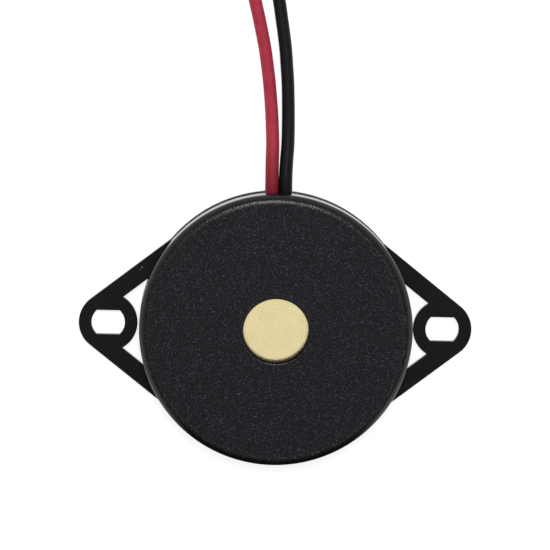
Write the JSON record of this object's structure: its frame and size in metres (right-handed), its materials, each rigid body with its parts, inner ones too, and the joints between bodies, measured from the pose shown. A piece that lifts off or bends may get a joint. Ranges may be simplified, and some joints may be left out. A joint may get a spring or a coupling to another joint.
{
  "type": "piezo buzzer",
  "caption": "Round enclosed piezo buzzer: moulded case with a central sound hole, open triangular mounting ears and a red and a black lead.",
  "frame": {"origin": "centre of the round case, on the flat back face of the base plate", "axes": "+X along the line of the two ears, +Y the side on which the leads leave, +Z out of the front face and its sound hole"},
  "size_m": [0.0434, 0.0713, 0.005],
  "materials": {
    "case_plastic": "spark-textured face, polished side wall",
    "plate_plastic": "fine matte",
    "brass_sheet": "pale matte rolled sheet",
    "piezo_ceramic": "matte sintered",
    "fired_silver": "matte fired silver paste",
    "silicone_glue": "cured, slightly cloudy",
    "solder": "bright solder",
    "tinned_copper": "tinned strands",
    "red_insulation": "satin soft vinyl",
    "black_insulation": "satin soft vinyl"
  },
  "bodies": {
    "root": {"front_case": "case_plastic", "base_plate": "plate_plastic", "brass_diaphragm": "brass_sheet", "ceramic_disc": "piezo_ceramic", "silver_electrode": "fired_silver", "edge_glue": "silicone_glue", "red_solder": "solder", "black_solder": "solder", "red_core": "tinned_copper", "black_core": "tinned_copper", "red_lead": "red_insulation", "black_lead": "black_insulation", "red_coil": "red_insulation", "black_coil": "black_insulation", "red_end": "red_insulation", "black_end": "black_insulation", "red_tip": "tinned_copper", "black_tip": "tinned_copper"}
  },
  "joints": []
}
